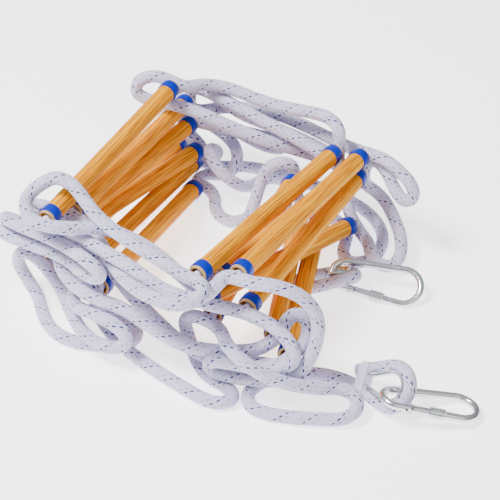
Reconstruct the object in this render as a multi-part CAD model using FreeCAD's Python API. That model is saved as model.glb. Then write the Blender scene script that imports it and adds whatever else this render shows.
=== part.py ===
import FreeCAD, Part
import math
import os

os.makedirs("parts", exist_ok=True)

V = FreeCAD.Vector

# ---------------------------------------------------------------- driving dimensions (mm)
RUNG_LENGTH = 304.0
RUNG_RADIUS = 11.0
RUNG_BORE = 8.3
FLUTES = 16
FLUTE_CUTTER = 1.3
FLUTE_DEPTH = 0.5
BAND_RADIUS = 12.25
BAND_WIDTH = 12.5
BAND_INSET = 3.0

ROPE_RADIUS = 8.0
CORD_RADIUS = 4.5
CORD_TUCK = 6.0
LAST_CORD_INSET = 24.0

EYE_RADIUS = 24.0
EYE_WRAP = 108.9
THIMBLE_INNER = 8.5
THIMBLE_OUTER = 10.3
THIMBLE_FLANGE = 60.0
THIMBLE_LEG = {"front": 22.0, "rear": 5.0}
WHIP_AT = 0.45
WHIP_LENGTH = 11.0
WHIP_WALL = 0.9

WIRE_RADIUS = 4.5
SMALL_BOW = 16.0
LARGE_BOW = 21.5
BOW_SPACING = 72.0
GATE_PIVOT = 14.0
NOSE_AT = 62.0
NOSE_GAP = 0.5
SLOT_HALF = 1.7
TONGUE_HALF = 1.4
TONGUE_RADIUS = 4.2
RIVET_RADIUS = 1.5
SLEEVE_INNER = 4.9
SLEEVE_OUTER = 6.5
SLEEVE_START = 22.0
SLEEVE_LENGTH = 18.0

# moves the whole pile so that the origin lies on the ground below its middle
SHIFT = V(-99.5, 76.4, 0.0)

# rungs in ladder order: middle of the near end face, and a point on the axis towards the far end
RUNGS = [
    ((82, -205, 73), (7, 89, 56)),
    ((-57, -232, 72), (-122, 57, 13)),
    ((-156, -202, 46), (-174, 101, 39)),
    ((-102, -195, 66), (-151, 102, 19)),
    ((177, -195, 52), (50, 85, 19.5)),
    ((154, -188, 66.4), (17, 92, 14.7)),
    ((-141, -208, 87), (-141, 93, 44)),
    ((-129, -214, 112), (-148, 89, 86)),
    ((79, -216, 107), (99, 77, 31)),
    ((124, -198, 100), (94, 105, 89)),
    ((117, -205, 150), (99, 98, 124)),
    ((-115, -200, 138), (-162, 99, 109)),
    ((82, -234, 153), (78, 70, 138)),
    ((-108, -257, 166), (-145, 45, 166)),
    ((85, -196, 127), (59, 100, 64)),
]

NEAR_ROPE = [
    # the eye, from the rope's tail round the thimble
    (238.8, -142, 20.7), (262.9, -138.5, 33), (286.1, -134, 45.9), (303.9, -141.1, 44.7),
    (312.9, -154.2, 34), (308.2, -166.1, 19.7), (292.4, -170.2, 9.7), (266.9, -161.5, 10.6),
    (240.8, -153.6, 10.3),
    # to rung 1
    (203, -155, 8), (176, -172, 8), (157, -193, 8), (147, -214, 8), (148, -236, 8), (164, -250, 8),
    (188, -247, 8), (214, -236, 8), (242, -221, 8), (262, -209, 9), (269, -192, 14), (257, -179, 22),
    (238, -184, 26), (224, -204, 32), (192, -236, 50), (162, -252, 70), (128, -246, 82),
    (98, -212, 69),
    # from rung 1 to rung 2
    (70, -216, 77), (54, -217, 68), (48, -211, 50), (52, -209, 30), (66, -218, 13), (88, -231, 8),
    (112, -234, 8), (131, -238, 8), (139, -250, 8), (130, -263, 8), (110, -267, 8), (68, -261, 8),
    (20, -253, 8), (-14, -252, 19), (-40, -247, 33), (-54, -243, 46), (-55, -243, 60),
    # from rung 2 to rung 3
    (-55, -238, 88), (-68, -231, 100), (-84, -224, 92), (-88, -223, 68), (-80, -221, 44),
    (-60, -214, 22), (-36, -206, 10), (-16, -214, 8), (-16, -238, 8), (-42, -256, 8), (-66, -266, 8),
    (-92, -268, 8), (-116, -260, 8), (-138, -243, 8), (-160, -222, 8), (-184, -212, 16),
    (-198, -212, 38), (-188, -213, 60), (-166, -211, 57),
    # from rung 3 to rung 4
    (-146, -209, 36), (-126, -216, 25), (-92, -244, 24), (-54, -268, 26), (-22, -271, 25),
    (2, -266, 34), (4, -264, 52), (-18, -266, 64), (-50, -264, 62), (-78, -254, 50), (-100, -230, 42),
    (-102, -206, 54),
    # from rung 4 to rung 5
    (-100, -200, 80), (-84, -206, 90), (-58, -212, 94), (-24, -224, 78), (16, -228, 58),
    (56, -230, 38), (96, -224, 28), (126, -212, 31), (150, -207, 37), (172, -208, 43),
    # from rung 5 to rung 6
    (188, -198, 63), (198, -188, 79), (192, -174, 93), (176, -171, 98), (166, -180, 91),
    (166, -191, 77),
    # from rung 6 to rung 7
    (150, -201, 57), (136, -212, 52), (104, -230, 50), (66, -246, 52), (28, -249, 64), (-10, -250, 76),
    (-44, -260, 82), (-76, -256, 84), (-106, -240, 84), (-127, -218, 87),
    # from rung 7 to rung 8
    (-155, -216, 90), (-178, -215, 92), (-193, -220, 94), (-198, -233, 100), (-186, -243, 105),
    (-166, -243, 104), (-136, -239, 103), (-104, -238, 103), (-74, -248, 105), (-50, -255, 106),
    (-35, -257, 113), (-34, -260, 126), (-48, -261, 134), (-68, -254, 132), (-94, -246, 129),
    (-124, -242, 127), (-156, -243, 127), (-180, -241, 126), (-195, -230, 117), (-180, -218, 108),
    (-160, -220, 109), (-142, -223.5, 111),
    # from rung 8 to rung 9
    (-114, -223, 115), (-88, -218, 112), (-50, -218, 106), (-12, -226, 102), (26, -236, 102),
    (48, -230, 105), (64, -224, 108),
    # from rung 9 to rung 10
    (93, -227, 111), (112, -209, 101),
    # from rung 10 to rung 11
    (139, -204, 99), (164, -204, 96), (186, -206, 86), (198, -211, 70), (188, -219, 56),
    (164, -226, 49), (142, -234, 50), (124, -240, 50), (106, -242, 46), (99, -240, 34),
    (107, -236, 23.5), (124, -232, 23), (142, -227, 24), (164, -221, 28), (184, -216, 34),
    (200, -208, 46), (208, -198, 64), (212, -190, 88), (210, -184, 112), (201, -188, 134),
    (185, -197, 150), (162, -208, 157), (144, -214, 155), (131, -212, 152),
    # from rung 11 to rung 12
    (107, -213, 150), (104, -226, 145), (100, -240, 137), (84, -252, 132), (48, -257, 134),
    (1, -248, 141), (-47, -243, 142), (-91, -234, 141), (-124, -236, 142), (-147, -235, 142),
    (-162, -228, 141), (-162, -215, 139), (-148, -208, 138), (-128, -211, 139),
    # from rung 12 to rung 13
    (-100, -206, 139), (-76, -212, 132), (-44, -230, 124), (-8, -252, 124), (24, -268, 130),
    (52, -276, 136), (78, -280, 141), (98, -274, 147), (107, -258, 151), (97, -243, 153.5),
    # from rung 13 to rung 14
    (68, -242, 152.5), (44, -240, 158), (10, -239, 164), (-22, -236, 168), (-55, -231, 175),
    (-80, -222, 185), (-98, -218, 196), (-118, -220, 200), (-134, -230, 190), (-144, -252, 176),
    (-122, -269, 166),
    # from rung 14 to rung 15
    (-93, -264, 166), (-76, -250, 162), (-54, -224, 157), (-20, -212, 146), (18, -214, 140),
    (54, -226, 136), (78, -233, 133), (88, -220, 131.5), (84.6, -190, 126),
]

FAR_ROPE = [
    # the eye, from the rope's tail round the thimble
    (96, -47, 10), (118, -37.5, 17.5), (144.1, -25, 31.8), (153.2, -8.5, 28.5), (149, 8.2, 20.2),
    (133.8, 16.1, 11.6), (115.9, 10.6, 7.4), (101.4, -11.8, 11.3), (85, -33, 9),
    # to rung 1
    (67, -46, 8), (50, -53, 8), (36, -34, 8), (28, 6, 8), (16, 44, 8), (4, 72, 8.5), (-4, 92, 20),
    (1, 98, 42),
    # from rung 1 to rung 2
    (3, 99, 68), (-6, 94, 76), (-20, 88, 73), (-30, 83, 60), (-35, 78, 42), (-34, 64, 22),
    (-30, 44, 9), (-42, 27, 8), (-62, 27, 8), (-80, 40, 8), (-92, 60, 8), (-111, 71, 9),
    # from rung 2 to rung 3
    (-129, 69.5, 9.5), (-134.5, 84, 8), (-126, 97, 9), (-106, 99, 14), (-90, 98, 28), (-88, 108, 43),
    (-104, 124, 49), (-128, 134, 51), (-154, 140, 53), (-182, 134, 60), (-202, 131, 64),
    (-212, 118, 61), (-206, 107, 53), (-188, 108.5, 46),
    # from rung 3 to rung 4
    (-164, 112, 30),
    # from rung 4 to rung 5
    (-140, 109, 9), (-118, 124, 8), (-90, 142, 8), (-44, 150, 8), (4, 151, 8), (50, 149, 8),
    (92, 139, 8), (124, 116, 8), (142, 84, 8), (142, 54, 8), (125, 36, 8), (106, 46, 8), (97, 70, 8),
    (90, 87, 9), (72, 96, 13),
    # from rung 5 to rung 6
    (35, 103.5, 14),
    # from rung 6 to rung 7
    (8, 106, 11), (-7, 121, 9), (-26, 131, 14), (-46, 127, 18), (-56, 110, 17), (-58, 90, 20),
    (-62, 72, 30), (-74, 60, 46), (-92, 58, 62), (-107, 68, 70), (-112, 84, 63), (-113, 98, 49),
    (-121, 104, 35), (-135, 102, 36),
    # from rung 7 to rung 8
    (-151, 102, 53), (-166, 103, 58), (-168, 117, 64), (-152, 127, 69), (-130, 128, 70),
    (-104, 127, 69), (-66, 124, 64), (-44, 124, 65), (-29, 121, 73), (-28, 114, 86), (-44, 108.5, 91),
    (-68, 106, 90), (-100, 105, 86), (-134, 98, 85),
    # from rung 8 to rung 9
    (-162, 96, 84), (-184, 98, 90), (-198, 110, 100), (-188, 124, 110), (-162, 130, 112),
    (-128, 124, 113), (-92, 114, 108), (-44, 112, 108), (0, 115, 103), (40, 118, 95), (64, 118, 82),
    (75, 110, 64), (82, 99, 50), (90, 88, 38),
    # from rung 9 to rung 10
    (110, 84, 19), (130, 70, 20), (144, 48, 26), (160, 40, 20), (174, 50, 14), (176, 70, 20),
    (162, 94, 28), (142, 112, 36), (122, 124, 48), (106, 124, 58), (94, 113, 72),
    # from rung 10 to rung 11
    (96, 114, 102), (110, 116, 112), (128, 111, 104), (146, 101, 88), (162, 96, 80), (176, 96, 92),
    (169, 98, 110), (146, 102, 121), (128, 105, 125), (112, 107, 124),
    # from rung 11 to rung 12
    (85, 106, 123), (58, 114, 118), (14, 124, 116), (-40, 130, 116), (-92, 136, 104), (-132, 132, 92),
    (-158, 122, 82), (-165, 109, 95),
    # from rung 12 to rung 13
    (-161, 109, 121), (-154, 106, 134), (-132, 100, 138), (-95, 96, 134), (-45, 96, 124), (0, 98, 116),
    (38, 100, 104), (62, 96, 102), (76, 84, 110), (78, 77, 125),
    # from rung 13 to rung 14
    (78, 79, 151), (72, 86, 163), (54, 94, 166), (28, 100, 160), (-8, 102, 152), (-50, 106, 145),
    (-96, 102, 151), (-122, 84, 158), (-133, 58, 162),
    # from rung 14 to rung 15
    (-159, 51, 171), (-176, 46, 172), (-191, 36, 164), (-192, 31, 148), (-174, 38, 139),
    (-140, 48, 140), (-100, 62, 128), (-56, 76, 112), (-20, 94, 98), (8, 118, 82), (32, 136, 68),
    (48, 140, 60), (57, 126, 58.5), (59.7, 93, 65.4),
]

# the eyes: centre, yaw, tilt and pitch of the eye's plane, side of the rope's main leg
EYES = {
    "front": ((288, -152, 27.5), -5.0, 46.5, 14.6),
    "rear": ((129, -8, 19.59), 39.0, -28.3, 1.3),
}

# the hooks: angle of the thimble's crown they hang on, yaw, roll, pitch, offsets of the small bow
HOOKS = {
    "front": (-25.9, 35.5, -7.9, -13.5, 8.9, -1.3),
    "rear": (-5.5, 17.3, 33.7, -3.8, 12.7, 1.1),
}


def triad(yaw, tilt, pitch):
    """Length, width and normal directions of a flat loop."""
    y = math.radians(yaw)
    t = math.radians(tilt)
    p = math.radians(pitch)
    a = V(math.cos(y) * math.cos(p), math.sin(y) * math.cos(p), math.sin(p))
    b = V(-math.sin(y), math.cos(y), 0)
    n = a.cross(b)
    v = b * math.cos(t) + n * math.sin(t)
    return a, v, a.cross(v)


def placed(shape, origin, a, v, n):
    """Puts a shape drawn in a local frame where its three directions say."""
    m = FreeCAD.Matrix(a.x, v.x, n.x, origin.x, a.y, v.y, n.y, origin.y, a.z, v.z, n.z, origin.z, 0, 0, 0, 1)
    out = shape.copy()
    out.transformShape(m, True)
    return out


def export(name, shape):
    out = shape.copy()
    out.translate(SHIFT)
    out.exportStep("parts/" + name + ".step")
    box = out.BoundBox
    if not out.isValid():
        print("NOT VALID", name)
    return box


# ---------------------------------------------------------------- rungs
def rung_tube():
    outer = Part.makeCylinder(RUNG_RADIUS, RUNG_LENGTH, V(0, 0, 0), V(1, 0, 0))
    bore = Part.makeCylinder(RUNG_BORE, RUNG_LENGTH + 2, V(-1, 0, 0), V(1, 0, 0))
    tube = outer.cut(bore)
    r = RUNG_RADIUS - FLUTE_DEPTH + FLUTE_CUTTER
    cutters = []
    for k in range(FLUTES):
        t = 2 * math.pi * (k + 0.5) / FLUTES
        at = V(-1, r * math.cos(t), r * math.sin(t))
        cutters.append(Part.makeCylinder(FLUTE_CUTTER, RUNG_LENGTH + 2, at, V(1, 0, 0)))
    return tube.cut(cutters)


def band(x):
    ring = Part.makeCylinder(BAND_RADIUS, BAND_WIDTH, V(x, 0, 0), V(1, 0, 0))
    hole = Part.makeCylinder(RUNG_RADIUS, BAND_WIDTH + 2, V(x - 1, 0, 0), V(1, 0, 0))
    ring = ring.cut(hole)
    rims = []
    for e in ring.Edges:
        if isinstance(e.Curve, Part.Circle) and abs(e.Curve.Radius - BAND_RADIUS) < 0.01:
            rims.append(e)
    return ring.makeFillet(0.5, rims)


def rung_frame(rung):
    near = V(*rung[0])
    a = (V(*rung[1]) - near).normalize()
    v = V(0, 0, 1).cross(a).normalize()
    return near, a, v, a.cross(v)


def rungs():
    tube = rung_tube()
    bands = Part.makeCompound([band(BAND_INSET), band(RUNG_LENGTH - BAND_INSET - BAND_WIDTH)])
    for k, rung in enumerate(RUNGS):
        f = rung_frame(rung)
        export("rung_%02d_tube" % (k + 1), placed(tube, *f))
        export("rung_%02d_end_bands" % (k + 1), placed(bands, *f))


def cross_cords():
    cords = []
    for rung in RUNGS[:-1]:
        near, a, v, n = rung_frame(rung)
        start = near - a * CORD_TUCK
        cords.append(Part.makeCylinder(CORD_RADIUS, RUNG_LENGTH + 2 * CORD_TUCK, start, a))
    return Part.makeCompound(cords)


# ---------------------------------------------------------------- ropes
def rounded_path(points, label):
    """Straight runs through the points, joined by tangent arcs."""
    p = [V(*q) for q in points]
    edges = []
    at = p[0]
    least = 1000.0
    where = None
    for k in range(1, len(p) - 1):
        u = p[k] - p[k - 1]
        w = p[k + 1] - p[k]
        run = min(u.Length, w.Length)
        u.normalize()
        w.normalize()
        turn = u.getAngle(w)
        back = 0.45 * run
        radius = back / math.tan(turn / 2)
        if radius < least:
            least = radius
            where = points[k]
        first = p[k] - u * back
        last = p[k] + w * back
        inward = (w - u).normalize()
        middle = p[k] + inward * (radius / math.cos(turn / 2) - radius)
        edges.append(Part.LineSegment(at, first).toShape())
        edges.append(Part.Arc(first, middle, last).toShape())
        at = last
    edges.append(Part.LineSegment(at, p[-1]).toShape())
    wire = Part.Wire(edges)
    print(label, "length %.0f" % wire.Length, "smallest radius %.1f" % least, "at", where)
    return wire


def tube_along(wire, radius):
    start = wire.Vertexes[0].Point
    ahead = wire.Edges[0].tangentAt(wire.Edges[0].FirstParameter)
    ring = Part.Wire(Part.makeCircle(radius, start, ahead))
    return wire.makePipeShell([ring], True, False)


def side_rope(points, label):
    wire = rounded_path(points, label)
    rope = tube_along(wire, ROPE_RADIUS)
    want = wire.Length * math.pi * ROPE_RADIUS ** 2
    print(label, "volume ratio %.4f" % (rope.Volume / want), "valid", rope.isValid(), rope.ShapeType)
    return rope


# ---------------------------------------------------------------- eyes
def crescent(middle, inward):
    """Channel section of the thimble round the rope's middle, in the local XY and normal frame."""
    points = []
    out = V(0, 0, 1)
    for radius, order in ((THIMBLE_INNER, (-1, 0, 1)), (THIMBLE_OUTER, (1, 0, -1))):
        arc = []
        for s in order:
            t = math.radians(s * THIMBLE_FLANGE)
            arc.append(middle + (inward * math.cos(t) + out * math.sin(t)) * radius)
        points.append(arc)
    inner, outer = points
    return Part.Face(Part.Wire([
        Part.Arc(*inner).toShape(),
        Part.LineSegment(inner[2], outer[0]).toShape(),
        Part.Arc(*outer).toShape(),
        Part.LineSegment(outer[2], inner[0]).toShape(),
    ]))


def thimble(leg):
    w = math.radians(EYE_WRAP)
    start = V(EYE_RADIUS * math.cos(w), -EYE_RADIUS * math.sin(w), 0)
    inward = start * (-1 / EYE_RADIUS)
    section = crescent(start, inward)
    crown = section.revolve(V(0, 0, 0), V(0, 0, 1), 2 * EYE_WRAP)
    low = section.extrude(V(-math.sin(w), -math.cos(w), 0) * leg)
    top = V(start.x, -start.y, 0)
    inward = top * (-1 / EYE_RADIUS)
    section = crescent(top, inward)
    high = section.extrude(V(-math.sin(w), math.cos(w), 0) * leg)
    return crown.fuse([low, high])


def whipping(points):
    """Oval winding round both legs of an eye, square to the line between them."""
    tail_end, tail, main, main_end = [V(*points[k]) for k in (0, 1, 7, 8)]
    ahead = ((tail - tail_end) + (main - main_end)).normalize()
    across = main_end + (main - main_end) * WHIP_AT - tail_end - (tail - tail_end) * WHIP_AT
    across = (across - ahead * across.dot(ahead)).normalize()
    up = ahead.cross(across)
    middle = (main_end + tail_end) * (0.5 - WHIP_AT / 2) + (main + tail) * (WHIP_AT / 2)
    r = ROPE_RADIUS + WHIP_WALL
    half = WHIP_LENGTH / 2
    rods = []
    for start, end in ((main_end, main), (tail_end, tail)):
        at = start + (end - start) * WHIP_AT
        rods.append(at - ahead * (at - middle).dot(ahead))
    y = (rods[0] - rods[1]).Length / 2
    block = Part.makeBox(WHIP_LENGTH, 2 * y, 2 * r, V(-half, -y, -r))
    ends = [Part.makeCylinder(r, WHIP_LENGTH, V(-half, s * y, 0), V(1, 0, 0)) for s in (1, -1)]
    oval = placed(block.fuse(ends).removeSplitter(), middle, ahead, across, up)
    for start, end in ((main_end, main), (tail_end, tail)):
        leg = end - start
        oval = oval.cut(Part.makeCylinder(ROPE_RADIUS + 0.02, leg.Length * 1.6, start - leg * 0.3, leg))
    return oval


def eyes():
    for name, (centre, yaw, tilt, pitch) in EYES.items():
        a, v, n = triad(yaw, tilt, pitch)
        export("thimble_" + name, placed(thimble(THIMBLE_LEG[name]), V(*centre), a, v, n))
    export("whipping_front", whipping(NEAR_ROPE))
    export("whipping_rear", whipping(FAR_ROPE))


# ---------------------------------------------------------------- snap hooks
def gate_line():
    """Start, direction and inward normal of the hook's gate side."""
    b = math.asin((LARGE_BOW - SMALL_BOW) / BOW_SPACING)
    start = V(-SMALL_BOW * math.sin(b), -SMALL_BOW * math.cos(b), 0)
    return start, V(math.cos(b), -math.sin(b), 0), V(math.sin(b), math.cos(b), 0)


def hook_body():
    start, u, inward = gate_line()
    end = start + u * (math.cos(math.asin((LARGE_BOW - SMALL_BOW) / BOW_SPACING)) * BOW_SPACING)
    pivot = start + u * GATE_PIVOT
    nose = start + u * NOSE_AT
    start_up = V(start.x, -start.y, 0)
    end_up = V(end.x, -end.y, 0)
    path = Part.Wire([
        Part.LineSegment(pivot, start).toShape(),
        Part.Arc(start, V(-SMALL_BOW, 0, 0), start_up).toShape(),
        Part.LineSegment(start_up, end_up).toShape(),
        Part.Arc(end_up, V(BOW_SPACING + LARGE_BOW, 0, 0), end).toShape(),
        Part.LineSegment(end, nose).toShape(),
    ])
    ring = Part.Wire(Part.makeCircle(WIRE_RADIUS, pivot, u))
    body = path.makePipeShell([ring], True, False)
    knuckle = Part.makeSphere(WIRE_RADIUS, pivot)
    body = body.fuse(knuckle)
    slot = Part.makeBox(10.4, 12, 2 * SLOT_HALF, V(-5.2, -6, -SLOT_HALF))
    slot = placed(slot, pivot, u, inward, V(0, 0, 1))
    hole = Part.makeCylinder(RIVET_RADIUS, 12, pivot - V(0, 0, 6), V(0, 0, 1))
    pocket = Part.makeCylinder(1.9, 8, pivot - u * 12, u)
    return body.cut([slot, hole, pocket])


def gate():
    shaft = Part.makeCylinder(WIRE_RADIUS, NOSE_AT - GATE_PIVOT - NOSE_GAP, V(0, 0, 0), V(1, 0, 0))
    clear = Part.makeCylinder(WIRE_RADIUS + 0.4, 12, V(0, 0, -6), V(0, 0, 1))
    shaft = shaft.cut(clear)
    tongue = Part.makeCylinder(TONGUE_RADIUS, 2 * TONGUE_HALF, V(0, 0, -TONGUE_HALF), V(0, 0, 1))
    neck = Part.makeBox(9, 7, 2 * TONGUE_HALF, V(0, -3.5, -TONGUE_HALF))
    whole = shaft.fuse([tongue, neck])
    hole = Part.makeCylinder(RIVET_RADIUS + 0.1, 12, V(0, 0, -6), V(0, 0, 1))
    return whole.cut(hole)


def rivet():
    shank = Part.makeCylinder(RIVET_RADIUS, 9.8, V(0, 0, -4.9), V(0, 0, 1))
    top = Part.makeCylinder(2.2, 0.5, V(0, 0, 4.55), V(0, 0, 1))
    bottom = Part.makeCylinder(2.2, 0.5, V(0, 0, -5.05), V(0, 0, 1))
    return shank.fuse([top, bottom])


def gate_spring():
    helix = Part.makeHelix(1.4, 6.4, 1.3)
    ring = Part.Wire(Part.makeCircle(0.35, V(1.3, 0, 0), V(0, 1, 0)))
    coil = Part.Wire(helix.Edges).makePipeShell([ring], True, True)
    m = FreeCAD.Matrix(0, 0, 1, -11.5, 0, 1, 0, 0, -1, 0, 0, 0, 0, 0, 0, 1)
    coil.transformShape(m, True)
    return coil


def sleeve():
    outer = Part.makeCylinder(SLEEVE_OUTER, SLEEVE_LENGTH, V(SLEEVE_START, 0, 0), V(1, 0, 0))
    outer = outer.makeChamfer(0.8, [e for e in outer.Edges if isinstance(e.Curve, Part.Circle)])
    grooves = []
    for k in range(12):
        t = 2 * math.pi * k / 12
        r = SLEEVE_OUTER + 0.25
        at = V(SLEEVE_START + 3, r * math.cos(t), r * math.sin(t))
        grooves.append(Part.makeCylinder(0.7, SLEEVE_LENGTH - 6, at, V(1, 0, 0)))
    bore = Part.makeCylinder(SLEEVE_INNER, SLEEVE_LENGTH + 2, V(SLEEVE_START - 1, 0, 0), V(1, 0, 0))
    return outer.cut(grooves + [bore])


def hooks():
    start, u, inward = gate_line()
    pivot = start + u * GATE_PIVOT
    local = (u, inward, V(0, 0, 1))
    shapes = {
        "body": hook_body(),
        "gate": placed(gate(), pivot, *local),
        "gate_rivet": placed(rivet(), pivot, *local),
        "gate_spring": placed(gate_spring(), pivot, *local),
        "lock_sleeve": placed(sleeve(), pivot, *local),
    }
    for name, (crown, yaw, roll, pitch, back, side) in HOOKS.items():
        centre, eye_yaw, eye_tilt, eye_pitch = EYES[name]
        a, v, n = triad(eye_yaw, eye_tilt, eye_pitch)
        c = math.radians(crown)
        at = V(*centre) + (a * math.cos(c) + v * math.sin(c)) * EYE_RADIUS
        bar = v * math.cos(c) - a * math.sin(c)
        ha, hv, hn = triad(yaw, roll, pitch)
        origin = at - ha * back - hv * side
        for piece, shape in shapes.items():
            export("hook_" + name + "_" + piece, placed(shape, origin, ha, hv, hn))
        turned = placed(Part.Vertex(pivot), origin, ha, hv, hn).Point + SHIFT
        along = ha * u.x + hv * u.y
        print("hook", name, "swing at", at + SHIFT, "axis", bar, "gate at", turned, "axis", hn, "slide", along)
        print("hook", name, "big bow middle", origin + ha * BOW_SPACING + SHIFT, "small", origin + SHIFT, ha, hv)


def main():
    near = side_rope(NEAR_ROPE, "near rope")
    far = side_rope(FAR_ROPE, "far rope")
    export("side_rope_near", near)
    export("side_rope_far", far)
    rungs()
    export("cross_cords", cross_cords())
    eyes()
    hooks()


main()
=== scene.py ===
import math

import bpy
import numpy as np
from mathutils import Matrix, Vector


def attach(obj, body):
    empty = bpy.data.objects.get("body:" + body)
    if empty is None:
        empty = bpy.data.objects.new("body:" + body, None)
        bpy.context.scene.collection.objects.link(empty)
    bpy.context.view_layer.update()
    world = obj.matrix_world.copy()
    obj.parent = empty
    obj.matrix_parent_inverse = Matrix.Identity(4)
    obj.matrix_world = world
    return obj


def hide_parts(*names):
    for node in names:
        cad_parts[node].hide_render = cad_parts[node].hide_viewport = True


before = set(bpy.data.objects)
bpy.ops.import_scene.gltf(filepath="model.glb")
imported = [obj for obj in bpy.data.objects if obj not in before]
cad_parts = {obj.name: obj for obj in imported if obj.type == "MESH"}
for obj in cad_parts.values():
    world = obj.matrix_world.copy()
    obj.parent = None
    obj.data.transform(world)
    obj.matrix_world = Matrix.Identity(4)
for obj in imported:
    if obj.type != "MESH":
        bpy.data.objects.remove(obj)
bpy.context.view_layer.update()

MM = 0.001
# where the drawing's zero lies in the row frame
SHIFT = Vector((-99.5, 76.4, 0.0)) * MM

# ---------------------------------------------------------------- sizes, in metres
ROPE_RADIUS = 0.008
ROPE_RELIEF = 0.0006
CARRIERS = 20
PICK = 0.0032
RINGS_PER_PICK = 3
COLUMNS_PER_CARRIER = 3
RUNG_LENGTH = 0.304
RUNG_RADIUS = 0.011
RUNG_BORE = 0.0083
FLUTES = 16
FLUTE_DEPTH = 0.0005
BAND_RADIUS = 0.01225
BAND_WIDTH = 0.0125
BAND_INSET = 0.003
BAND_EDGE = 0.0005
BAND_GAP = 0.00002
BAND_COLUMNS = 64
RUNG_CHAMFER = 0.0006
COLUMNS_PER_FLUTE = 6

# degrees, metres and millimetres
CAMERA_AZIMUTH = 33.0
CAMERA_HEIGHT = 38.0
CAMERA_DISTANCE = 2.35
CAMERA_LENS = 135.4
CAMERA_SENSOR = 36.0

# rungs in ladder order: middle of the near end face, and a point on the axis towards the far end (mm)
RUNGS = [
    ((82, -205, 73), (7, 89, 56)),
    ((-57, -232, 72), (-122, 57, 13)),
    ((-156, -202, 46), (-174, 101, 39)),
    ((-102, -195, 66), (-151, 102, 19)),
    ((177, -195, 52), (50, 85, 19.5)),
    ((154, -188, 66.4), (17, 92, 14.7)),
    ((-141, -208, 87), (-141, 93, 44)),
    ((-129, -214, 112), (-148, 89, 86)),
    ((79, -216, 107), (99, 77, 31)),
    ((124, -198, 100), (94, 105, 89)),
    ((117, -205, 150), (99, 98, 124)),
    ((-115, -200, 138), (-162, 99, 109)),
    ((82, -234, 153), (78, 70, 138)),
    ((-108, -257, 166), (-145, 45, 166)),
    ((85, -196, 127), (59, 100, 64)),
]

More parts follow.
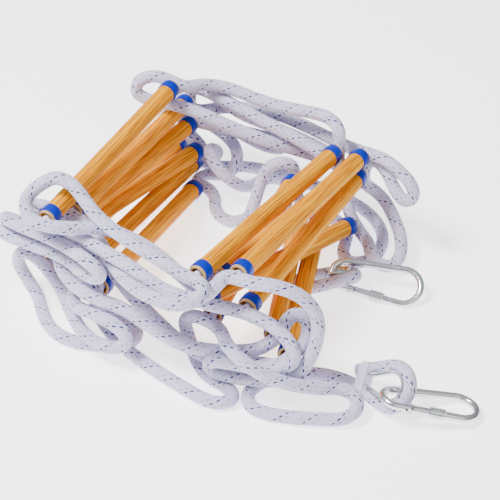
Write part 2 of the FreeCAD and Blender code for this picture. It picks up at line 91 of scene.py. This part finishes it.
# the ropes' lines (mm)
NEAR_ROPE = [
    # the eye, from the rope's tail round the thimble
    (238.8, -142, 20.7), (262.9, -138.5, 33), (286.1, -134, 45.9), (303.9, -141.1, 44.7),
    (312.9, -154.2, 34), (308.2, -166.1, 19.7), (292.4, -170.2, 9.7), (266.9, -161.5, 10.6),
    (240.8, -153.6, 10.3),
    # to rung 1
    (203, -155, 8), (176, -172, 8), (157, -193, 8), (147, -214, 8), (148, -236, 8), (164, -250, 8),
    (188, -247, 8), (214, -236, 8), (242, -221, 8), (262, -209, 9), (269, -192, 14), (257, -179, 22),
    (238, -184, 26), (224, -204, 32), (192, -236, 50), (162, -252, 70), (128, -246, 82),
    (98, -212, 69),
    # from rung 1 to rung 2
    (70, -216, 77), (54, -217, 68), (48, -211, 50), (52, -209, 30), (66, -218, 13), (88, -231, 8),
    (112, -234, 8), (131, -238, 8), (139, -250, 8), (130, -263, 8), (110, -267, 8), (68, -261, 8),
    (20, -253, 8), (-14, -252, 19), (-40, -247, 33), (-54, -243, 46), (-55, -243, 60),
    # from rung 2 to rung 3
    (-55, -238, 88), (-68, -231, 100), (-84, -224, 92), (-88, -223, 68), (-80, -221, 44),
    (-60, -214, 22), (-36, -206, 10), (-16, -214, 8), (-16, -238, 8), (-42, -256, 8), (-66, -266, 8),
    (-92, -268, 8), (-116, -260, 8), (-138, -243, 8), (-160, -222, 8), (-184, -212, 16),
    (-198, -212, 38), (-188, -213, 60), (-166, -211, 57),
    # from rung 3 to rung 4
    (-146, -209, 36), (-126, -216, 25), (-92, -244, 24), (-54, -268, 26), (-22, -271, 25),
    (2, -266, 34), (4, -264, 52), (-18, -266, 64), (-50, -264, 62), (-78, -254, 50), (-100, -230, 42),
    (-102, -206, 54),
    # from rung 4 to rung 5
    (-100, -200, 80), (-84, -206, 90), (-58, -212, 94), (-24, -224, 78), (16, -228, 58),
    (56, -230, 38), (96, -224, 28), (126, -212, 31), (150, -207, 37), (172, -208, 43),
    # from rung 5 to rung 6
    (188, -198, 63), (198, -188, 79), (192, -174, 93), (176, -171, 98), (166, -180, 91),
    (166, -191, 77),
    # from rung 6 to rung 7
    (150, -201, 57), (136, -212, 52), (104, -230, 50), (66, -246, 52), (28, -249, 64), (-10, -250, 76),
    (-44, -260, 82), (-76, -256, 84), (-106, -240, 84), (-127, -218, 87),
    # from rung 7 to rung 8
    (-155, -216, 90), (-178, -215, 92), (-193, -220, 94), (-198, -233, 100), (-186, -243, 105),
    (-166, -243, 104), (-136, -239, 103), (-104, -238, 103), (-74, -248, 105), (-50, -255, 106),
    (-35, -257, 113), (-34, -260, 126), (-48, -261, 134), (-68, -254, 132), (-94, -246, 129),
    (-124, -242, 127), (-156, -243, 127), (-180, -241, 126), (-195, -230, 117), (-180, -218, 108),
    (-160, -220, 109), (-142, -223.5, 111),
    # from rung 8 to rung 9
    (-114, -223, 115), (-88, -218, 112), (-50, -218, 106), (-12, -226, 102), (26, -236, 102),
    (48, -230, 105), (64, -224, 108),
    # from rung 9 to rung 10
    (93, -227, 111), (112, -209, 101),
    # from rung 10 to rung 11
    (139, -204, 99), (164, -204, 96), (186, -206, 86), (198, -211, 70), (188, -219, 56),
    (164, -226, 49), (142, -234, 50), (124, -240, 50), (106, -242, 46), (99, -240, 34),
    (107, -236, 23.5), (124, -232, 23), (142, -227, 24), (164, -221, 28), (184, -216, 34),
    (200, -208, 46), (208, -198, 64), (212, -190, 88), (210, -184, 112), (201, -188, 134),
    (185, -197, 150), (162, -208, 157), (144, -214, 155), (131, -212, 152),
    # from rung 11 to rung 12
    (107, -213, 150), (104, -226, 145), (100, -240, 137), (84, -252, 132), (48, -257, 134),
    (1, -248, 141), (-47, -243, 142), (-91, -234, 141), (-124, -236, 142), (-147, -235, 142),
    (-162, -228, 141), (-162, -215, 139), (-148, -208, 138), (-128, -211, 139),
    # from rung 12 to rung 13
    (-100, -206, 139), (-76, -212, 132), (-44, -230, 124), (-8, -252, 124), (24, -268, 130),
    (52, -276, 136), (78, -280, 141), (98, -274, 147), (107, -258, 151), (97, -243, 153.5),
    # from rung 13 to rung 14
    (68, -242, 152.5), (44, -240, 158), (10, -239, 164), (-22, -236, 168), (-55, -231, 175),
    (-80, -222, 185), (-98, -218, 196), (-118, -220, 200), (-134, -230, 190), (-144, -252, 176),
    (-122, -269, 166),
    # from rung 14 to rung 15
    (-93, -264, 166), (-76, -250, 162), (-54, -224, 157), (-20, -212, 146), (18, -214, 140),
    (54, -226, 136), (78, -233, 133), (88, -220, 131.5), (84.6, -190, 126),
]

FAR_ROPE = [
    # the eye, from the rope's tail round the thimble
    (96, -47, 10), (118, -37.5, 17.5), (144.1, -25, 31.8), (153.2, -8.5, 28.5), (149, 8.2, 20.2),
    (133.8, 16.1, 11.6), (115.9, 10.6, 7.4), (101.4, -11.8, 11.3), (85, -33, 9),
    # to rung 1
    (67, -46, 8), (50, -53, 8), (36, -34, 8), (28, 6, 8), (16, 44, 8), (4, 72, 8.5), (-4, 92, 20),
    (1, 98, 42),
    # from rung 1 to rung 2
    (3, 99, 68), (-6, 94, 76), (-20, 88, 73), (-30, 83, 60), (-35, 78, 42), (-34, 64, 22),
    (-30, 44, 9), (-42, 27, 8), (-62, 27, 8), (-80, 40, 8), (-92, 60, 8), (-111, 71, 9),
    # from rung 2 to rung 3
    (-129, 69.5, 9.5), (-134.5, 84, 8), (-126, 97, 9), (-106, 99, 14), (-90, 98, 28), (-88, 108, 43),
    (-104, 124, 49), (-128, 134, 51), (-154, 140, 53), (-182, 134, 60), (-202, 131, 64),
    (-212, 118, 61), (-206, 107, 53), (-188, 108.5, 46),
    # from rung 3 to rung 4
    (-164, 112, 30),
    # from rung 4 to rung 5
    (-140, 109, 9), (-118, 124, 8), (-90, 142, 8), (-44, 150, 8), (4, 151, 8), (50, 149, 8),
    (92, 139, 8), (124, 116, 8), (142, 84, 8), (142, 54, 8), (125, 36, 8), (106, 46, 8), (97, 70, 8),
    (90, 87, 9), (72, 96, 13),
    # from rung 5 to rung 6
    (35, 103.5, 14),
    # from rung 6 to rung 7
    (8, 106, 11), (-7, 121, 9), (-26, 131, 14), (-46, 127, 18), (-56, 110, 17), (-58, 90, 20),
    (-62, 72, 30), (-74, 60, 46), (-92, 58, 62), (-107, 68, 70), (-112, 84, 63), (-113, 98, 49),
    (-121, 104, 35), (-135, 102, 36),
    # from rung 7 to rung 8
    (-151, 102, 53), (-166, 103, 58), (-168, 117, 64), (-152, 127, 69), (-130, 128, 70),
    (-104, 127, 69), (-66, 124, 64), (-44, 124, 65), (-29, 121, 73), (-28, 114, 86), (-44, 108.5, 91),
    (-68, 106, 90), (-100, 105, 86), (-134, 98, 85),
    # from rung 8 to rung 9
    (-162, 96, 84), (-184, 98, 90), (-198, 110, 100), (-188, 124, 110), (-162, 130, 112),
    (-128, 124, 113), (-92, 114, 108), (-44, 112, 108), (0, 115, 103), (40, 118, 95), (64, 118, 82),
    (75, 110, 64), (82, 99, 50), (90, 88, 38),
    # from rung 9 to rung 10
    (110, 84, 19), (130, 70, 20), (144, 48, 26), (160, 40, 20), (174, 50, 14), (176, 70, 20),
    (162, 94, 28), (142, 112, 36), (122, 124, 48), (106, 124, 58), (94, 113, 72),
    # from rung 10 to rung 11
    (96, 114, 102), (110, 116, 112), (128, 111, 104), (146, 101, 88), (162, 96, 80), (176, 96, 92),
    (169, 98, 110), (146, 102, 121), (128, 105, 125), (112, 107, 124),
    # from rung 11 to rung 12
    (85, 106, 123), (58, 114, 118), (14, 124, 116), (-40, 130, 116), (-92, 136, 104), (-132, 132, 92),
    (-158, 122, 82), (-165, 109, 95),
    # from rung 12 to rung 13
    (-161, 109, 121), (-154, 106, 134), (-132, 100, 138), (-95, 96, 134), (-45, 96, 124), (0, 98, 116),
    (38, 100, 104), (62, 96, 102), (76, 84, 110), (78, 77, 125),
    # from rung 13 to rung 14
    (78, 79, 151), (72, 86, 163), (54, 94, 166), (28, 100, 160), (-8, 102, 152), (-50, 106, 145),
    (-96, 102, 151), (-122, 84, 158), (-133, 58, 162),
    # from rung 14 to rung 15
    (-159, 51, 171), (-176, 46, 172), (-191, 36, 164), (-192, 31, 148), (-174, 38, 139),
    (-140, 48, 140), (-100, 62, 128), (-56, 76, 112), (-20, 94, 98), (8, 118, 82), (32, 136, 68),
    (48, 140, 60), (57, 126, 58.5), (59.7, 93, 65.4),
]

# ---------------------------------------------------------------- looks
WORLD_STRENGTH = 0.75
SKY_LOW = (0.10, 0.10, 0.11)
SKY_FADE = 0.75
KEY_PLACE = (-1.0, -1.1, 2.6)
KEY_SIZE = 1.0
FILL_PLACE = (1.8, -1.0, 1.6)
FILL_SIZE = 1.8
GROUND_HALF = 8.0
KEY_POWER = 175.0
FILL_POWER = 10.0
GROUND_GLOW = 1.9
ROPE_WHITE = (0.80, 0.76, 1.0)
# painted shade: the colour that the rope's crevices and yarn grooves are darkened towards
ROPE_SHADE = (0.09, 0.07, 0.20)
NAVY = (0.006, 0.010, 0.16)
GREY = (0.12, 0.12, 0.16)
# strand, family, side, colour and weight of the coloured yarns
TRACERS = [
    (0, "a", "over", NAVY, 1.0),
    (10, "a", "over", NAVY, 0.95),
    (2, "a", "over", GREY, 0.55),
    (7, "a", "over", GREY, 0.35),
    (13, "a", "over", GREY, 0.45),
    (6, "b", "under", GREY, 0.35),
]
RUNG_ORANGE = (0.84, 0.34, 0.0)
RUNG_DARK = (0.42, 0.12, 0.0)
RUNG_LIGHT = (1.0, 0.52, 0.02)
RUNG_TIP = (0.55, 0.36, 0.16)
BAND_BLUE = (0.0, 0.02, 0.36)


def row(point):
    """A drawing point in mm, as a place in the row frame."""
    return Vector(point) * MM + SHIFT


# ---------------------------------------------------------------- camera, ground and light
def set_camera():
    a = math.radians(CAMERA_AZIMUTH)
    e = math.radians(CAMERA_HEIGHT)
    back = Vector((math.sin(a) * math.cos(e), -math.cos(a) * math.cos(e), math.sin(e)))
    data = bpy.data.cameras.new("camera")
    data.lens = CAMERA_LENS
    data.sensor_width = CAMERA_SENSOR
    cam = bpy.data.objects.new("camera", data)
    cam.location = SHIFT + back * CAMERA_DISTANCE
    cam.rotation_euler = (-back).to_track_quat("-Z", "Y").to_euler()
    bpy.context.scene.collection.objects.link(cam)
    bpy.context.scene.camera = cam


def area_light(name, place, size, power):
    data = bpy.data.lights.new(name, "AREA")
    data.shape = "DISK"
    data.size = size
    data.energy = power
    lamp = bpy.data.objects.new(name, data)
    lamp.location = place
    lamp.rotation_euler = (-Vector(place)).to_track_quat("-Z", "Y").to_euler()
    bpy.context.scene.collection.objects.link(lamp)


def set_light():
    world = bpy.data.worlds.new("studio")
    world.use_nodes = True
    background = world.node_tree.nodes["Background"]
    g = Graph(world.node_tree)
    parts = g.node("ShaderNodeSeparateXYZ")
    g.put(parts.inputs[0], g.node("ShaderNodeTexCoord").outputs["Generated"])
    height = g.node("ShaderNodeMapRange")
    for socket, value in zip(height.inputs, (parts.outputs[2], 0.0, SKY_FADE, 0.0, 1.0)):
        g.put(socket, value)
    g.put(background.inputs["Color"], g.mix(height.outputs[0], (*SKY_LOW, 1.0), (1.0, 1.0, 1.0, 1.0)))
    background.inputs["Strength"].default_value = WORLD_STRENGTH
    bpy.context.scene.world = world
    area_light("key", KEY_PLACE, KEY_SIZE, KEY_POWER)
    area_light("fill", FILL_PLACE, FILL_SIZE, FILL_POWER)


def ground():
    mesh = bpy.data.meshes.new("ground")
    s = GROUND_HALF
    mesh.from_pydata([(-s, -s, 0), (s, -s, 0), (s, s, 0), (-s, s, 0)], [], [(0, 1, 2, 3)])
    obj = bpy.data.objects.new("ground", mesh)
    bpy.context.scene.collection.objects.link(obj)
    mat, shader, _ = new_material("ground", (0.97, 0.97, 0.97), 0.9)
    shader.inputs["Emission Color"].default_value = (1.0, 1.0, 1.0, 1.0)
    shader.inputs["Emission Strength"].default_value = GROUND_GLOW
    obj.data.materials.append(mat)


# ---------------------------------------------------------------- materials
class Graph:
    """Short calls for a material's math nodes."""

    def __init__(self, tree):
        self.tree = tree

    def node(self, kind, **values):
        n = self.tree.nodes.new(kind)
        for key, value in values.items():
            setattr(n, key, value)
        return n

    def put(self, socket, value):
        if isinstance(value, bpy.types.NodeSocket):
            self.tree.links.new(value, socket)
        else:
            socket.default_value = value

    def math(self, operation, a, b=0.0, c=None):
        n = self.node("ShaderNodeMath", operation=operation)
        self.put(n.inputs[0], a)
        self.put(n.inputs[1], b)
        if c is not None:
            self.put(n.inputs[2], c)
        return n.outputs[0]

    def mix(self, factor, a, b):
        n = self.node("ShaderNodeMix", data_type="RGBA")
        self.put(n.inputs[0], factor)
        self.put(n.inputs[6], a)
        self.put(n.inputs[7], b)
        return n.outputs[2]

    def uv(self):
        n = self.node("ShaderNodeUVMap", uv_map="along")
        parts = self.node("ShaderNodeSeparateXYZ")
        self.tree.links.new(n.outputs[0], parts.inputs[0])
        return parts.outputs[0], parts.outputs[1]

    def noise(self, x, y, z, scale, detail=2.0):
        place = self.node("ShaderNodeCombineXYZ")
        for socket, value in zip(place.inputs, (x, y, z)):
            self.put(socket, value)
        n = self.node("ShaderNodeTexNoise")
        self.put(n.inputs["Vector"], place.outputs[0])
        self.put(n.inputs["Scale"], scale)
        self.put(n.inputs["Detail"], detail)
        return n.outputs[0]

    def bump(self, shader, height, distance, strength=1.0):
        n = self.node("ShaderNodeBump")
        self.put(n.inputs["Height"], height)
        self.put(n.inputs["Distance"], distance)
        self.put(n.inputs["Strength"], strength)
        self.put(shader.inputs["Normal"], n.outputs[0])


def new_material(name, color, roughness, metallic=0.0, coat=0.0):
    mat = bpy.data.materials.new(name)
    mat.use_nodes = True
    shader = mat.node_tree.nodes["Principled BSDF"]
    shader.inputs["Base Color"].default_value = (*color, 1.0)
    shader.inputs["Roughness"].default_value = roughness
    shader.inputs["Metallic"].default_value = metallic
    shader.inputs["Coat Weight"].default_value = coat
    mat.diffuse_color = (*color, 1.0)
    return mat, shader, Graph(mat.node_tree)


def rope_material():
    mat, shader, g = new_material("rope", ROPE_WHITE, 0.72)
    u, v = g.uv()
    u = g.math("MULTIPLY", u, float(CARRIERS))
    a = g.math("ADD", u, v)
    b = g.math("SUBTRACT", u, v)
    i = g.math("FLOOR", a)
    j = g.math("FLOOR", b)
    over = g.math("LESS_THAN", g.math("FLOORED_MODULO", g.math("ADD", i, j), 4.0), 1.5)
    fa = g.math("SUBTRACT", g.math("SUBTRACT", a, i), 0.5)
    fb = g.math("SUBTRACT", g.math("SUBTRACT", b, j), 0.5)
    under = g.math("SUBTRACT", 1.0, over)
    across = g.math("ADD", g.math("MULTIPLY", fa, over), g.math("MULTIPLY", fb, under))
    # painted shade: the base colour darkens towards ROPE_SHADE at each strand's edges, where the
    # crossing strands meet, and a little along the fine yarn grooves across each strand
    edge = g.math("POWER", g.math("MULTIPLY", g.math("ABSOLUTE", across), 2.0), 3.0)
    color = g.mix(g.math("MULTIPLY", edge, 0.95), (*ROPE_WHITE, 1.0), (*ROPE_SHADE, 1.0))
    fine = g.math("COSINE", g.math("MULTIPLY", across, 6.0 * math.pi))
    color = g.mix(g.math("MULTIPLY", g.math("ADD", fine, 1.0), 0.05), color, (*ROPE_SHADE, 1.0))
    ia = g.math("FLOORED_MODULO", i, float(CARRIERS))
    jb = g.math("FLOORED_MODULO", j, float(CARRIERS))
    for index, which, side, tint, weight in TRACERS:
        strand = ia if which == "a" else jb
        hit = g.math("COMPARE", strand, float(index), 0.1)
        hit = g.math("MULTIPLY", hit, over if side == "over" else under)
        inside = g.math("LESS_THAN", g.math("ABSOLUTE", across), 0.40)
        color = g.mix(g.math("MULTIPLY", g.math("MULTIPLY", hit, inside), weight), color, (*tint, 1.0))
    g.put(shader.inputs["Base Color"], color)
    shader.inputs["Sheen Weight"].default_value = 0.25
    height = g.math("ADD", g.math("MULTIPLY", fine, 0.25), g.math("SUBTRACT", 1.0, edge))
    g.bump(shader, height, 0.0003, 0.7)
    return mat


def rung_material():
    mat, shader, g = new_material("rung", RUNG_ORANGE, 0.5)
    shader.inputs["Specular IOR Level"].default_value = 0.1
    u, v = g.uv()
    angle = g.math("MULTIPLY", u, 2.0 * math.pi)
    info = g.node("ShaderNodeObjectInfo").outputs["Random"]
    x = g.math("ADD", g.math("COSINE", angle), g.math("MULTIPLY", info, 40.0))
    y = g.math("SINE", angle)
    grain = g.noise(x, y, g.math("MULTIPLY", v, 0.7), 9.0, 4.0)
    streak = g.noise(g.math("ADD", x, 7.0), y, g.math("MULTIPLY", v, 0.35), 3.4, 2.0)
    ramp = g.node("ShaderNodeValToRGB")
    g.put(ramp.inputs[0], grain)
    ramp.color_ramp.elements[0].position = 0.36
    ramp.color_ramp.elements[0].color = (*RUNG_DARK, 1.0)
    ramp.color_ramp.elements[1].position = 0.56
    ramp.color_ramp.elements[1].color = (*RUNG_ORANGE, 1.0)
    light = g.node("ShaderNodeMapRange")
    for socket, value in zip(light.inputs, (streak, 0.52, 0.68, 0.0, 0.75)):
        g.put(socket, value)
    color = g.mix(light.outputs[0], ramp.outputs[0], (*RUNG_LIGHT, 1.0))
    # the bare tips outside the bands
    middle = g.math("ABSOLUTE", g.math("SUBTRACT", v, 0.5))
    tip = g.math("GREATER_THAN", middle, 0.5 - (BAND_INSET + 0.001) / RUNG_LENGTH)
    color = g.mix(tip, color, (*RUNG_TIP, 1.0))
    g.put(shader.inputs["Base Color"], color)
    g.bump(shader, grain, 0.0002, 0.5)
    return mat


def metal_material(name, color, roughness):
    mat, shader, g = new_material(name, color, roughness, metallic=1.0)
    place = g.node("ShaderNodeTexCoord").outputs["Object"]
    n = g.node("ShaderNodeTexNoise")
    g.put(n.inputs["Vector"], place)
    g.put(n.inputs["Scale"], 260.0)
    g.put(n.inputs["Detail"], 3.0)
    wear = g.node("ShaderNodeMapRange")
    for socket, value in zip(wear.inputs, (n.outputs[0], 0.3, 0.7, roughness - 0.06, roughness + 0.1)):
        g.put(socket, value)
    g.put(shader.inputs["Roughness"], wear.outputs[0])
    g.bump(shader, n.outputs[0], 0.00012, 0.25)
    return mat


def band_material():
    mat, shader, _ = new_material("band", BAND_BLUE, 0.34)
    shader.inputs["Specular IOR Level"].default_value = 0.18
    return mat


def twine_material():
    return new_material("twine", ROPE_WHITE, 0.8)[0]


# ---------------------------------------------------------------- meshes
def mesh_object(name, vertices, faces, uvs, material, body, smooth=True):
    """An object from arrays of vertices, quads and one UV pair for each face corner."""
    mesh = bpy.data.meshes.new(name)
    mesh.vertices.add(len(vertices))
    mesh.vertices.foreach_set("co", np.asarray(vertices, dtype=np.float32).ravel())
    faces = np.asarray(faces, dtype=np.int32)
    mesh.loops.add(faces.size)
    mesh.loops.foreach_set("vertex_index", faces.ravel())
    mesh.polygons.add(len(faces))
    mesh.polygons.foreach_set("loop_start", np.arange(0, faces.size, 4, dtype=np.int32))
    mesh.update(calc_edges=True)
    mesh.validate()
    layer = mesh.uv_layers.new(name="along")
    layer.data.foreach_set("uv", np.asarray(uvs, dtype=np.float32).ravel())
    mesh.polygons.foreach_set("use_smooth", np.full(len(faces), smooth))
    mesh.materials.append(material)
    obj = bpy.data.objects.new(name, mesh)
    bpy.context.scene.collection.objects.link(obj)
    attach(obj, body)
    return obj


def grid(rows, columns):
    """Quads of a tube whose rings are rows of vertices, and their corners' column and row."""
    r, c = np.meshgrid(np.arange(rows - 1), np.arange(columns), indexing="ij")
    r = r.ravel()
    c = c.ravel()
    n = (c + 1) % columns
    low = r * columns
    high = (r + 1) * columns
    faces = np.stack([low + c, low + n, high + n, high + c], axis=1)
    corner_column = np.stack([c, c + 1, c + 1, c], axis=1)
    corner_row = np.stack([r, r, r + 1, r + 1], axis=1)
    return faces, corner_column, corner_row


# ---------------------------------------------------------------- ropes
def spline_points(name, points):
    """The rope's line, read from one smooth spline that its route's points guide."""
    curve = bpy.data.curves.new(name, "CURVE")
    curve.dimensions = "3D"
    spline = curve.splines.new("NURBS")
    spline.points.add(len(points) - 1)
    for at, point in zip(spline.points, points):
        at.co = (*row(point), 1.0)
    spline.order_u = 3
    spline.use_endpoint_u = True
    spline.resolution_u = 12
    guide = bpy.data.objects.new(name, curve)
    bpy.context.scene.collection.objects.link(guide)
    bpy.context.view_layer.update()
    mesh = bpy.data.meshes.new_from_object(guide)
    out = np.array([v.co[:] for v in mesh.vertices])
    bpy.data.objects.remove(guide)
    return out


def resampled(points, step):
    gaps = np.linalg.norm(np.diff(points, axis=0), axis=1)
    along = np.concatenate([[0.0], np.cumsum(gaps)])
    count = int(round(along[-1] / step)) + 1
    at = np.linspace(0.0, along[-1], count)
    return np.stack([np.interp(at, along, points[:, k]) for k in range(3)], axis=1), along[-1]


def carried_frames(line):
    """Tangent and two side directions that turn as little as they can along the line."""
    tangent = np.gradient(line, axis=0)
    tangent /= np.linalg.norm(tangent, axis=1)[:, None]
    side = np.zeros_like(line)
    first = np.cross(tangent[0], (0.0, 0.0, 1.0))
    side[0] = first / np.linalg.norm(first)
    for k in range(1, len(line)):
        s = side[k - 1] - tangent[k] * np.dot(side[k - 1], tangent[k])
        side[k] = s / np.linalg.norm(s)
    return tangent, side, np.cross(tangent, side)


def braid_height(u, v):
    """Height of the braid's surface, 0 to 1, where u counts carriers and v counts picks."""
    a = u + v
    b = u - v
    i = np.floor(a + 1e-6)
    j = np.floor(b + 1e-6)
    over = np.mod(i + j, 4) < 1.5
    across = np.where(over, a - i, b - j) - 0.5
    return 1.0 - (2.0 * np.abs(across)) ** 2


def rope(name, points, material):
    line, length = resampled(spline_points(name + "_line", points), PICK / RINGS_PER_PICK)
    tangent, side, lift = carried_frames(line)
    columns = CARRIERS * COLUMNS_PER_CARRIER
    rows = len(line)
    u = np.arange(columns) / float(COLUMNS_PER_CARRIER)
    v = np.arange(rows) / RINGS_PER_PICK
    uu, vv = np.meshgrid(u, v)
    radius = ROPE_RADIUS - ROPE_RELIEF * (1.0 - braid_height(uu, vv))
    angle = 2.0 * math.pi * uu / CARRIERS
    ring = side[:, None, :] * np.cos(angle)[:, :, None] + lift[:, None, :] * np.sin(angle)[:, :, None]
    vertices = (line[:, None, :] + ring * radius[:, :, None]).reshape(-1, 3)
    vertices[:, 2] = np.maximum(vertices[:, 2], 0.0)
    faces, column, row_index = grid(rows, columns)
    uvs = np.stack([column / columns, row_index / RINGS_PER_PICK], axis=2)
    obj = mesh_object(name, vertices, faces, uvs, material, "ladder")
    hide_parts(name)
    return obj


# ---------------------------------------------------------------- rungs
def turned(outline, columns, radius_of=None):
    """Rings of vertices about the X axis from an outline of (x, radius)."""
    angle = 2.0 * math.pi * np.arange(columns) / columns
    rows = []
    for k, (x, r) in enumerate(outline):
        rr = np.full(columns, r) if radius_of is None else radius_of(k, r, angle)
        rows.append(np.stack([np.full(columns, x), rr * np.cos(angle), rr * np.sin(angle)], axis=1))
    return np.concatenate(rows)


def rung_frame(rung):
    near = row(rung[0])
    a = (row(rung[1]) - near).normalized()
    v = Vector((0, 0, 1)).cross(a).normalized()
    n = a.cross(v)
    m = Matrix.Identity(4)
    for k, axis in enumerate((a, v, n, near)):
        m.col[k][:3] = axis
    return np.array(m)


def put(vertices, matrix):
    return vertices @ matrix[:3, :3].T + matrix[:3, 3]


def rung_tube(name, matrix, material):
    columns = FLUTES * COLUMNS_PER_FLUTE
    chamfer = RUNG_CHAMFER
    outer = [chamfer, 0.02, 0.05, 0.1, 0.152, 0.204, 0.254, 0.284, RUNG_LENGTH - chamfer]
    outline = [(chamfer, RUNG_BORE), (0.0, RUNG_BORE + chamfer), (0.0, RUNG_RADIUS - chamfer)]
    outline += [(x, RUNG_RADIUS) for x in outer]
    outline += [(RUNG_LENGTH, RUNG_RADIUS - chamfer), (RUNG_LENGTH, RUNG_BORE + chamfer),
                (RUNG_LENGTH - chamfer, RUNG_BORE), (chamfer, RUNG_BORE)]

    def radius_of(k, r, angle):
        if r < RUNG_RADIUS - 2 * chamfer:
            return np.full(len(angle), r)
        dip = np.clip(np.cos(angle * FLUTES) * 2.2 - 1.2, 0.0, 1.0)
        return r - FLUTE_DEPTH * dip

    vertices = put(turned(outline, columns, radius_of), matrix)
    faces, column, row_index = grid(len(outline), columns)
    x = np.array([p[0] for p in outline]) / RUNG_LENGTH
    uvs = np.stack([column / columns, x[row_index]], axis=2)
    obj = mesh_object(name + "_tube", vertices, faces, uvs, material, "ladder")
    obj.data.set_sharp_from_angle(angle=math.radians(35))
    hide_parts(name + "_tube")


def rung_bands(name, matrix, material):
    columns = BAND_COLUMNS
    b = BAND_EDGE
    parts = []
    for x0 in (BAND_INSET, RUNG_LENGTH - BAND_INSET - BAND_WIDTH):
        x1 = x0 + BAND_WIDTH
        r = BAND_RADIUS
        inner = RUNG_RADIUS + BAND_GAP
        outline = [(x0, inner), (x0, r - b), (x0 + 0.3 * b, r - 0.3 * b), (x0 + b, r),
                   (x1 - b, r), (x1 - 0.3 * b, r - 0.3 * b), (x1, r - b), (x1, inner), (x0, inner)]
        parts.append(put(turned(outline, columns), matrix))
    faces, column, row_index = grid(len(outline), columns)
    uv = np.stack([column / columns, row_index / (len(outline) - 1.0)], axis=2)
    vertices = np.concatenate(parts)
    faces = np.concatenate([faces, faces + len(parts[0])])
    obj = mesh_object(name + "_end_bands", vertices, faces, np.concatenate([uv, uv]), material, "ladder")
    obj.data.set_sharp_from_angle(angle=math.radians(50))
    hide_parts(name + "_end_bands")


def dress_frame(materials):
    """Gives the CAD pieces that are shown as they are their finish."""
    for name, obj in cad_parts.items():
        if name.startswith(("rung_", "side_rope")):
            continue
        if name.startswith("whipping") or name == "cross_cords":
            mat = materials["twine"]
        elif "rivet" in name or "spring" in name:
            mat = materials["steel"]
        else:
            mat = materials["zinc"]
        obj.data.materials.clear()
        obj.data.materials.append(mat)


def main():
    set_camera()
    material = rope_material()
    rope("side_rope_near", NEAR_ROPE, material)
    rope("side_rope_far", FAR_ROPE, material)
    set_light()
    ground()
    wood = rung_material()
    blue = band_material()
    for k, rung in enumerate(RUNGS):
        matrix = rung_frame(rung)
        rung_tube("rung_%02d" % (k + 1), matrix, wood)
        rung_bands("rung_%02d" % (k + 1), matrix, blue)
    dress_frame({
        "twine": twine_material(),
        "steel": metal_material("steel", (0.5, 0.5, 0.52), 0.4),
        "zinc": metal_material("zinc", (0.60, 0.62, 0.65), 0.2),
    })


main()
